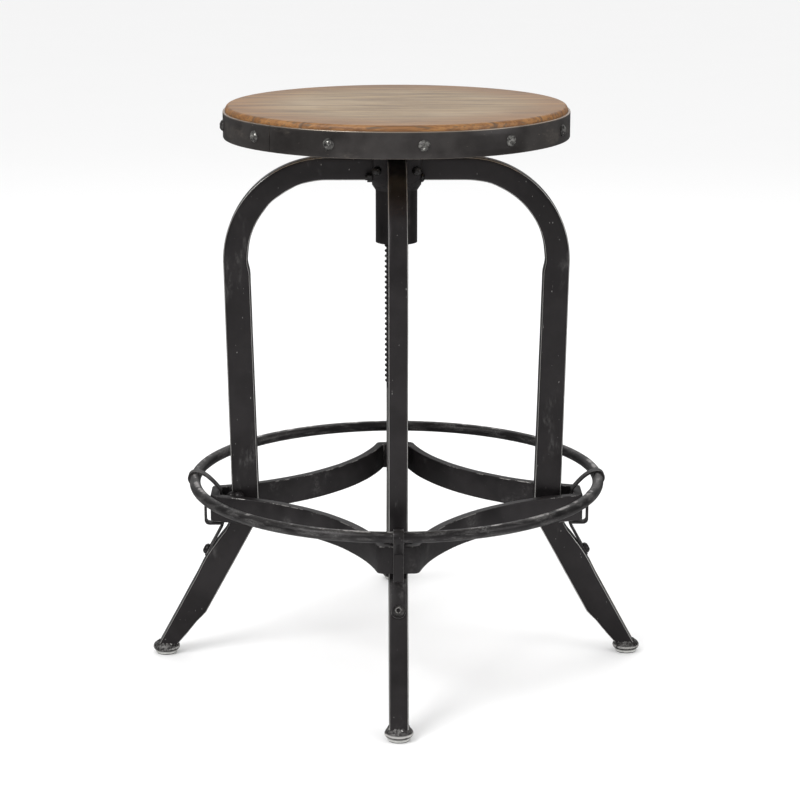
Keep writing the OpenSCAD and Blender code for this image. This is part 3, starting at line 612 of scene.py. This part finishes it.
# one rounded tube section, carried along the bent leg
def makeLeg(side, turn):
    s = legShape
    bm = bmesh.new()
    wear = wearOf(bm)
    deep, across = bm.verts.layers.float.new("deep"), bm.verts.layers.float.new("across")
    nominal, half, corner, zone = 25.0, s["width"] / 2, s["corner"], s["endZone"]
    corners = [bm.verts.new(p) for p in ((0, -half, 0), (0, half, 0), (nominal, half, 0), (nominal, -half, 0))]
    bm.faces.new(corners)
    bmesh.ops.bevel(bm, geom=corners, offset=corner, offset_type="OFFSET", affect="VERTICES", segments=4,
                    profile=0.5, material=-1)
    bmesh.ops.delete(bm, geom=list(bm.faces), context="FACES_ONLY")
    bmesh.ops.subdivide_edges(bm, edges=[e for e in bm.edges if e.calc_length() > corner * 2], cuts=5)
    loop = list(bm.edges)
    for vert in bm.verts:
        vert[deep], vert[across] = vert.co.x, vert.co.y
        gap = math.hypot(min(vert.co.x, nominal - vert.co.x), half - abs(vert.co.y)) / corner
        vert[wear] = 1.0 if gap < 0.55 else 0.3 if gap < 0.75 else 0.0

    def placer(outer, inner):
        start, along = Vector(outer), Vector(inner) - Vector(outer)
        depth = along.length
        along.normalize()

        def place(vert):
            a = vert[deep]
            if a > nominal - zone:
                a = depth - (nominal - a)
            elif a > zone:
                a = zone + (a - zone) * (depth - 2 * zone) / (nominal - 2 * zone)
            spot = start + along * a
            vert.co = (spot.x, vert[across], spot.y)
        return place

    stations = legStations()
    for vert in bm.verts:
        placer(*stations[0])(vert)
    first = loop
    for outer, inner in stations[1:]:
        loop = growLoop(bm, loop, placer(outer, inner))
    bmesh.ops.contextual_create(bm, geom=first)
    bmesh.ops.contextual_create(bm, geom=loop)
    for spare in ("deep", "across"):
        bm.verts.layers.float.remove(bm.verts.layers.float[spare])
    seed = sides[side] / 37.0
    for index, ((x, y, z), radius, push) in enumerate(legDents):
        dent(bm, (x + (seed if index == shiftingDent else 0), y, z), radius, push)
    bm.normal_update()
    roughen(bm.verts, s["unevenness"], 38.0, seed)
    for vert in bm.verts:
        vert.co.z = max(s["foot"], min(vert.co.z, s["top"]))
    turned(bm, turn)
    return finishPiece(bm, "legTube_" + side, steels["legSteel"], "frame", ["leg_" + side], 45)


footShape = {"centre": 255.9, "base": 3.5, "radius": 14.7, "top": 12.5, "weldLumps": 16, "lumpSize": 2.5}


# a turned iron disc with the weld that holds it to the leg heaped on top
def makeFoot(side, turn):
    s = footShape
    bm = bmesh.new()
    b, r, top = s["base"], s["radius"], s["top"]
    profile = [(0, b, 0), (r - 3.2, b, 0), (r - 2.0, b + 0.1, 0.2), (r - 0.9, b + 1.2, 0.3), (r - 0.2, b + 2.6, 0.7),
               (r - 0.05, b + 3.8, 1.0), (r - 0.4, b + 5.2, 0.6), (r - 1.5, b + 7.0, 0.2), (r - 3.2, b + 8.4, 0.1),
               (r - 5.4, top - 0.1, 0), (0, top, 0)]
    lathe(bm, profile, 48)
    bm.normal_update()
    roughen([v for v in bm.verts if v.co.z > b + 1.5 and v.co.z < top - 0.3], 0.35, 4.5, turn / 50.0)
    for lump in range(s["weldLumps"]):  # the weld bead, in overlapping ripples round the leg's end
        a = math.tau * lump / s["weldLumps"]
        spot = Vector((9.0 * math.cos(a) - 1.0, 9.6 * math.sin(a), top - 1.0))
        spot.z += 0.5 * noise.noise(Vector((lump * 1.3, turn, 0)))
        size = s["lumpSize"] + 0.6 * noise.noise(Vector((lump * 2.1, 4.0, turn)))
        made = bmesh.ops.create_icosphere(bm, subdivisions=2, radius=size, matrix=Matrix.Translation(spot))
        bm.normal_update()
        roughen(made["verts"], 0.5, 1.6, lump + turn / 9.0)
        for vert in made["verts"]:
            vert[wearOf(bm)] = max(0.0, min(1.0, noise.noise(vert.co / 1.8) * 3.2))
    bmesh.ops.translate(bm, vec=(s["centre"], 0, 0), verts=bm.verts)
    turned(bm, turn)
    return finishPiece(bm, "footDisc_" + side, steels["footIron"], "frame", ["foot_pad_" + side], 60)


braceShape = {"waist": 121.0, "arcRadius": 241.0, "thickness": 9.5, "endOut": 203.0, "endIn": 193.0,
              "bottom": 157.5, "top": 186.5, "rounding": 1.3, "cornerRounding": 5.0, "steps": 26}


# one scalloped ring of four bars and four flat ends: two outlines bridged, raised and rounded
def makeBrace():
    s = braceShape
    bm = bmesh.new()
    centre = (s["waist"] + s["arcRadius"]) / math.sqrt(2)

    def outline(radius, reach):
        half = centre - math.sqrt(radius ** 2 - (centre - reach) ** 2)
        a, b = math.atan2(half - centre, reach - centre), math.atan2(reach - centre, half - centre)
        if abs(b - a) >= math.pi:  # the short way round
            b += math.tau if b < a else -math.tau
        sweep = [a + (b - a) * i / s["steps"] for i in range(s["steps"] + 1)]
        quarter = [Vector((centre + radius * math.cos(t), centre + radius * math.sin(t), s["bottom"]))
                   for t in sweep]
        points = [Matrix.Rotation(math.radians(90 * k), 3, "Z") @ p for k in range(4) for p in quarter]
        verts = [bm.verts.new(p) for p in points]
        return [bm.edges.new((verts[i], verts[(i + 1) % len(verts)])) for i in range(len(verts))]

    rim = outline(s["arcRadius"], s["endOut"]) + outline(s["arcRadius"] + s["thickness"], s["endIn"])
    faces = bmesh.ops.bridge_loops(bm, edges=rim)["faces"]
    grown = bmesh.ops.extrude_face_region(bm, geom=faces, use_keep_orig=True)["geom"]
    upper = [g for g in grown if isinstance(g, bmesh.types.BMVert)]
    bmesh.ops.translate(bm, vec=(0, 0, s["top"] - s["bottom"]), verts=upper)
    bmesh.ops.recalc_face_normals(bm, faces=bm.faces)

    def atEnd(edge):  # an upright edge at the outer corner of a flat end
        a, b = edge.verts[0].co, edge.verts[1].co
        return abs(a.z - b.z) > 5 and max(abs(a.x), abs(a.y)) > s["endOut"] - 1

    bmesh.ops.bevel(bm, geom=[e for e in sharpEdges(bm, 30) if atEnd(e)], offset=s["cornerRounding"],
                    offset_type="OFFSET", affect="EDGES", segments=5, profile=0.5, material=-1)
    bevelWorn(bm, sharpEdges(bm, 30), s["rounding"], 3)
    bm.normal_update()
    roughen(bm.verts, 0.18, 30.0, 3.0)
    for vert in bm.verts:
        vert.co.z = max(s["bottom"] - 0.1, min(vert.co.z, s["top"] + 0.1))
    names = ["brace_bar_" + side for side in sides] + ["brace_end_" + side for side in sides]
    return finishPiece(bm, "braceCasting", steels["braceSteel"], "frame", names, 38)


weldShape = {"x": 178.5, "y": -12.4, "top": 158.0, "length": 11.0, "radius": 3.2, "drips": 7}
filletShape = {"lumps": 26, "x": 179.0, "y": 13.4, "rise": 2.2, "pitch": 2.0, "inset": 7.0,
               "insetSize": 5.8, "flushSize": 5.4}


def makeBraceWelds():
    s, fillet = weldShape, filletShape
    bm = bmesh.new()
    wear = wearOf(bm)
    for side, turn in sides.items():
        before = set(bm.verts)
        for lump in range(s["drips"]):
            f = lump / (s["drips"] - 1)
            spot = Vector((s["x"] + 2.2 * noise.noise(Vector((lump * 1.7, turn, 0))), s["y"] + 1.6 * f,
                           s["top"] - s["length"] * f * 0.85))
            made = bmesh.ops.create_icosphere(bm, subdivisions=2, radius=s["radius"] * (1.0 - 0.35 * f),
                                              matrix=Matrix.Translation(spot))
            bm.normal_update()
            roughen(made["verts"], 0.8, 2.0, lump * 3 + turn)
        for sign in (-1, 1):  # beads that fill the corner between the leg's sides and the bars
            for lump in range(fillet["lumps"]):
                inward, size = (0, fillet["flushSize"]) if lump % 2 else (fillet["inset"], fillet["insetSize"])
                spot = Vector((fillet["x"] - inward + noise.noise(Vector((lump * 2.3, turn, sign))),
                               sign * (fillet["y"] + inward * 0.24),
                               s["top"] + fillet["rise"] + lump // 2 * fillet["pitch"]))
                made = bmesh.ops.create_icosphere(bm, subdivisions=2, radius=size, matrix=Matrix.Translation(spot))
                bm.normal_update()
                roughen(made["verts"], 0.7, 2.4, lump * 5 + turn)
        fresh = [v for v in bm.verts if v not in before]
        for vert in fresh:
            vert[wear] = max(0.0, noise.noise(vert.co / 2.0) * 1.2)
        turned(bm, turn, fresh)
    return finishPiece(bm, "braceWelds", steels["braceSteel"], "frame", ["brace_welds"], 60)


ringShape = {"radius": 219.7, "bar": 6.0, "level": 201.6}


def makeFootRing():
    s = ringShape
    bm = bmesh.new()
    wear = wearOf(bm)
    bmesh.ops.create_circle(bm, segments=28, radius=s["bar"])
    bmesh.ops.rotate(bm, cent=(0, 0, 0), matrix=Matrix.Rotation(math.radians(90), 3, "X"), verts=bm.verts)
    bmesh.ops.translate(bm, vec=(s["radius"], 0, s["level"]), verts=bm.verts)
    for vert in bm.verts:
        vert[wear] = max(0.0, (vert.co.z - s["level"]) / s["bar"]) ** 3 * 0.9
    bmesh.ops.spin(bm, geom=bm.verts[:] + bm.edges[:], cent=(0, 0, 0), axis=(0, 0, 1), angle=math.tau,
                   steps=288, use_merge=True)
    return finishPiece(bm, "footRing", steels["ringSteel"], "frame", ["foot_ring"], 60)


clipShape = {"thickness": 2.3, "footWidth": 15.5, "strapWidth": 10.5, "boltHeight": 118.5, "kinkHeight": 149.5,
             "riseX": 209.5, "riseBend": 4.2, "ring": (ringShape["radius"], ringShape["level"]), "wrap": 7.1,
             "tailX": 191.9, "tailTop": 188.0, "tailEnd": 176.5, "edge": 0.42}


# a point on the splayed part of a leg's outer face, or a little way out from it
def shinPoint(height, out):
    s = legShape
    splay = math.radians(s["splay"])
    kneeX = s["reach"] - (s["top"] - s["bendRadius"] - s["kneeHeight"]) * math.tan(math.radians(s["lean"]))
    return Vector((kneeX + (s["kneeHeight"] - height) * math.tan(splay) + out * math.cos(splay),
                   height + out * math.sin(splay)))


# middle line of the strip, from the bolted end round the foot ring to the hook behind the brace end
def clipPath():
    s = clipShape
    splay = math.radians(legShape["splay"])
    down, strap, bend = Vector((math.sin(splay), -math.cos(splay))), s["strapWidth"], s["riseBend"]
    bolt, kink = shinPoint(s["boltHeight"], s["thickness"] / 2), shinPoint(s["kinkHeight"], s["thickness"] / 2)
    r, length = s["footWidth"] / 2, (shinPoint(s["kinkHeight"], 0) - shinPoint(s["boltHeight"], 0)).length
    path = [(bolt + down * d, 2 * math.sqrt(max(0.4, r * r - d * d)))
            for d in (r - 0.05, r - 0.5, r - 1.3, r - 2.6, r - 4.4, r - 6.2, 0.0)]  # the rounded end
    path += [(bolt - down * d, s["footWidth"]) for d in (8, 16, 24, length - 5.0, length - 2.4)]
    path += [(bolt - down * (length - 2.2), strap), (bolt - down * (length - 0.8), strap)]
    path += [(Vector((kink.x + 1.6, kink.y)), strap), (Vector((s["riseX"] - bend, kink.y)), strap)]
    for degrees in (20, 40, 60, 80):
        a = math.radians(degrees)
        path.append((Vector((s["riseX"] - bend + bend * math.sin(a), kink.y + bend - bend * math.cos(a))), strap))
    path += [(Vector((s["riseX"], z)), strap) for z in (160, 168, 176, 181)]
    centre = Vector(s["ring"])
    for degrees in range(-52, 112, 8):
        a = math.radians(degrees)
        path.append((centre + s["wrap"] * Vector((math.cos(a), math.sin(a))), strap))
    start, end = path[-1][0], Vector((s["tailX"] + 0.6, s["tailTop"]))
    lift = Vector((207.0, 207.6))
    for f in (0.15, 0.3, 0.45, 0.6, 0.75, 0.9, 1.0):
        path.append(((1 - f) ** 2 * start + 2 * f * (1 - f) * lift + f * f * end, strap))
    path += [(Vector((s["tailX"], z)), strap) for z in (185.5, 181, s["tailEnd"])]
    return path


def makeClip(side, turn):
    s = clipShape
    bm = bmesh.new()
    path = clipPath()
    normals = []
    for i in range(len(path)):
        a, b = path[max(0, i - 1)][0], path[min(len(path) - 1, i + 1)][0]
        along = (b - a).normalized()
        normals.append(Vector((along.y, -along.x)))

    def corners(i):
        (spot, width), normal = path[i], normals[i]
        return [Vector((spot.x + normal.x * k * s["thickness"] / 2, h * width / 2,
                        spot.y + normal.y * k * s["thickness"] / 2)) for k, h in ((-1, -1), (-1, 1), (1, 1), (1, -1))]

    tag = bm.verts.layers.int.new("corner")
    verts = [bm.verts.new(p) for p in corners(0)]
    for index, vert in enumerate(verts):
        vert[tag] = index
    loop = [bm.edges.new((verts[i], verts[(i + 1) % 4])) for i in range(4)]
    first = list(loop)
    for i in range(1, len(path)):
        spots = corners(i)
        loop = growLoop(bm, loop, lambda vert: setattr(vert, "co", spots[vert[tag]]))
    bmesh.ops.contextual_create(bm, geom=first)
    bmesh.ops.contextual_create(bm, geom=loop)
    bm.verts.layers.int.remove(tag)
    bmesh.ops.recalc_face_normals(bm, faces=bm.faces)
    bevelWorn(bm, sharpEdges(bm, 50), s["edge"], 2)
    turned(bm, turn)
    return finishPiece(bm, "ringClip_" + side, steels["clipSteel"], "frame", ["ring_clip_" + side], 40)


boltShape = {"radius": 6.0, "height": 4.5, "socket": 2.3, "socketDepth": 2.4}


def makeClipBolts():
    s = boltShape
    c = clipShape
    bm = bmesh.new()
    splay, spot = math.radians(legShape["splay"]), shinPoint(c["boltHeight"], 0)
    foot = Vector((spot.x, 0, spot.y))
    for side, turn in sides.items():
        before = set(bm.verts)
        r, h, q = s["radius"], s["height"], s["socket"]
        lathe(bm, [(0, -3, 0), (3, -3, 0), (3, 0.1, 0), (r - 0.4, 0.1, 0), (r, 0.5, 0.4), (r, 1.3, 0.5),
                   (r - 0.5, h * 0.6, 0.4), (r - 1.7, h * 0.88, 0.5), (r - 2.7, h, 0.6), (q + 0.35, h, 1.0),
                   (q, h - 0.3, 0.5), (q, h - s["socketDepth"], 0), (0, h - s["socketDepth"] - 0.5, 0)], 36)
        fresh = [v for v in bm.verts if v not in before]
        for vert in fresh:  # the socket has six flats
            if math.hypot(vert.co.x, vert.co.y) < q + 0.05 and vert.co.z > 0:
                a = math.atan2(vert.co.y, vert.co.x) % (math.pi / 3) - math.pi / 6
                flat = math.cos(math.pi / 6) / math.cos(a)
                vert.co.x *= flat
                vert.co.y *= flat
        place = (Matrix.Rotation(math.radians(turn), 4, "Z") @ Matrix.Translation(foot) @
                 Matrix.Rotation(math.radians(90) - splay, 4, "Y") @ Matrix.Translation((0, 0, c["thickness"])))
        bmesh.ops.transform(bm, matrix=place, verts=fresh)
    return finishPiece(bm, "clipBolts", steels["boltSteel"], "frame", ["clip_bolts"], 40)


makeSeatBoard()
makeSeatBand()
makeRivets()
makeSpindle()
print("seat and spindle made")
for side, turn in sides.items():
    makeLeg(side, turn)
    makeFoot(side, turn)
    makeClip(side, turn)
makeBrace()
makeBraceWelds()
makeFootRing()
makeClipBolts()
print("legs, brace, ring and clips made")

# CAD pieces that already have the right shape take their finishes here
keptNodes = {"seat_plate": steels["hubSteel"], "plate_screws": plains["screwZinc"],
             "stop_washer": plains["washerPlastic"], "hub_tube": steels["hubSteel"], "hub_head": steels["hubSteel"],
             "spindle_nut": plains["nutBrass"], "guide_bush": plains["bushPlastic"],
             "hub_bolts": steels["boltSteel"], "hub_nuts": steels["boltSteel"]}
for side in sides:
    keptNodes["foot_glide_" + side] = plains["glidePlastic"]
    # the soles take the near-black finish, which partly paints the shadow line under each glide
    keptNodes["foot_sole_" + side] = plains["soleRubberAndShadow"]
for name, material in keptNodes.items():
    nodes[name].data.materials.clear()
    nodes[name].data.materials.append(material)
print("kept nodes finished:", len(keptNodes))

studio = {"floorSize": 60.0, "floorTone": 0.93, "skyTone": 1.0, "backdropTone": 1.05, "mirrorTone": 0.5,
          "sideTone": 0.1, "frontTone": 0.75}


def makeStudio():
    bm = bmesh.new()
    bmesh.ops.create_grid(bm, x_segments=2, y_segments=2, size=studio["floorSize"] / 2)
    mesh = bpy.data.meshes.new("studioFloor")
    bm.to_mesh(mesh)
    bm.free()
    floor = bpy.data.objects.new("studioFloor", mesh)
    bpy.context.scene.collection.objects.link(floor)
    material, tree, shader = newMaterial("studioPaper")
    cloud = noiseAt(tree, stretched(tree, (1, 1, 1)), 3.0, 2.0)
    tone = studio["floorTone"]
    paper = mixColour(tree, cloud, (tone, tone, tone, 1), (tone * 0.99, tone * 0.99, tone * 0.99, 1))
    parts = addNode(tree, "ShaderNodeSeparateXYZ", Vector=tree.nodes.new("ShaderNodeTexCoord").outputs["Object"])
    ahead = maths(tree, "MULTIPLY", ramp(tree, maths(tree, "ABSOLUTE", parts.outputs["X"]), 1.7, 0.3),
                  ramp(tree, parts.outputs["Y"], 0.4, -0.4))
    low, high = studio["sideTone"], studio["frontTone"]
    reflected = mixColour(tree, ahead, (low, low, low, 1), (high, high, high, 1))
    inMetal = tree.nodes.new("ShaderNodeLightPath").outputs["Is Glossy Ray"]
    tree.links.new(mixColour(tree, inMetal, paper, reflected), shader.inputs["Base Color"])
    shader.inputs["Roughness"].default_value = 0.9
    shader.inputs["Specular IOR Level"].default_value = 0.1
    mesh.materials.append(material)
    world = bpy.data.worlds.new("studioWorld")
    bpy.context.scene.world = world
    world.use_nodes = True
    tree = world.node_tree
    sky = tree.nodes["Background"]
    sky.inputs["Color"].default_value = (1, 1, 1, 1)
    sky.inputs["Strength"].default_value = studio["skyTone"]
    bright = addNode(tree, "ShaderNodeBackground", Color=(1, 1, 1, 1), Strength=studio["backdropTone"])
    way = tree.nodes.new("ShaderNodeTexCoord").outputs["Generated"]
    aside = maths(tree, "ABSOLUTE", addNode(tree, "ShaderNodeSeparateXYZ", Vector=way).outputs["X"])
    fall = studio["sideTone"] - studio["mirrorTone"]
    tone = maths(tree, "MULTIPLY_ADD", ramp(tree, aside, 0.25, 0.85), fall, studio["mirrorTone"])
    dim = addNode(tree, "ShaderNodeBackground", Color=(1, 1, 1, 1), Strength=tone)
    seen = tree.nodes.new("ShaderNodeLightPath").outputs
    glossy, final = tree.nodes.new("ShaderNodeMixShader"), tree.nodes.new("ShaderNodeMixShader")
    for node, factor, first, second in ((glossy, seen["Is Glossy Ray"], sky, dim),
                                        (final, seen["Is Camera Ray"], glossy, bright)):
        tree.links.new(factor, node.inputs[0])
        tree.links.new(first.outputs[0], node.inputs[1])
        tree.links.new(second.outputs[0], node.inputs[2])
    tree.links.new(final.outputs[0], tree.nodes["World Output"].inputs["Surface"])


def addLight(name, spot, target, size, power):
    data = bpy.data.lights.new(name, "AREA")
    data.shape = "RECTANGLE"
    data.size, data.size_y, data.energy = size[0], size[1], power
    lamp = bpy.data.objects.new(name, data)
    lamp.location = spot
    lamp.rotation_euler = (Vector(target) - Vector(spot)).to_track_quat("-Z", "Y").to_euler()
    bpy.context.scene.collection.objects.link(lamp)


lights = {"keyLight": dict(spot=(-1.6, -1.5, 2.3), target=(0, 0, 0.35), size=(1.4, 1.4), power=40.0),
          "fillLight": dict(spot=(2.4, -1.2, 1.2), target=(0, 0, 0.3), size=(1.2, 1.6), power=16.0),
          "backLight": dict(spot=(0.3, 2.0, 2.2), target=(0, 0, 0.4), size=(2.2, 1.2), power=12.0)}

makeStudio()
for name, lamp in lights.items():
    addLight(name, **lamp)

cameraSet = {"lens": 104.18, "sensor": 36.0, "shift": 0.0044, "place": (-0.0234, -2.4369, 0.9033), "tilt": 75.84,
             "turn": -0.55}
camera = bpy.data.cameras.new("viewCamera")
camera.lens = cameraSet["lens"]
camera.sensor_width = cameraSet["sensor"]
camera.shift_x = cameraSet["shift"]
viewer = bpy.data.objects.new("viewCamera", camera)
viewer.location = cameraSet["place"]
viewer.rotation_euler = (math.radians(cameraSet["tilt"]), 0, math.radians(cameraSet["turn"]))
bpy.context.scene.collection.objects.link(viewer)
bpy.context.scene.camera = viewer
bpy.context.scene.view_settings.view_transform = "Standard"
print("studio set")
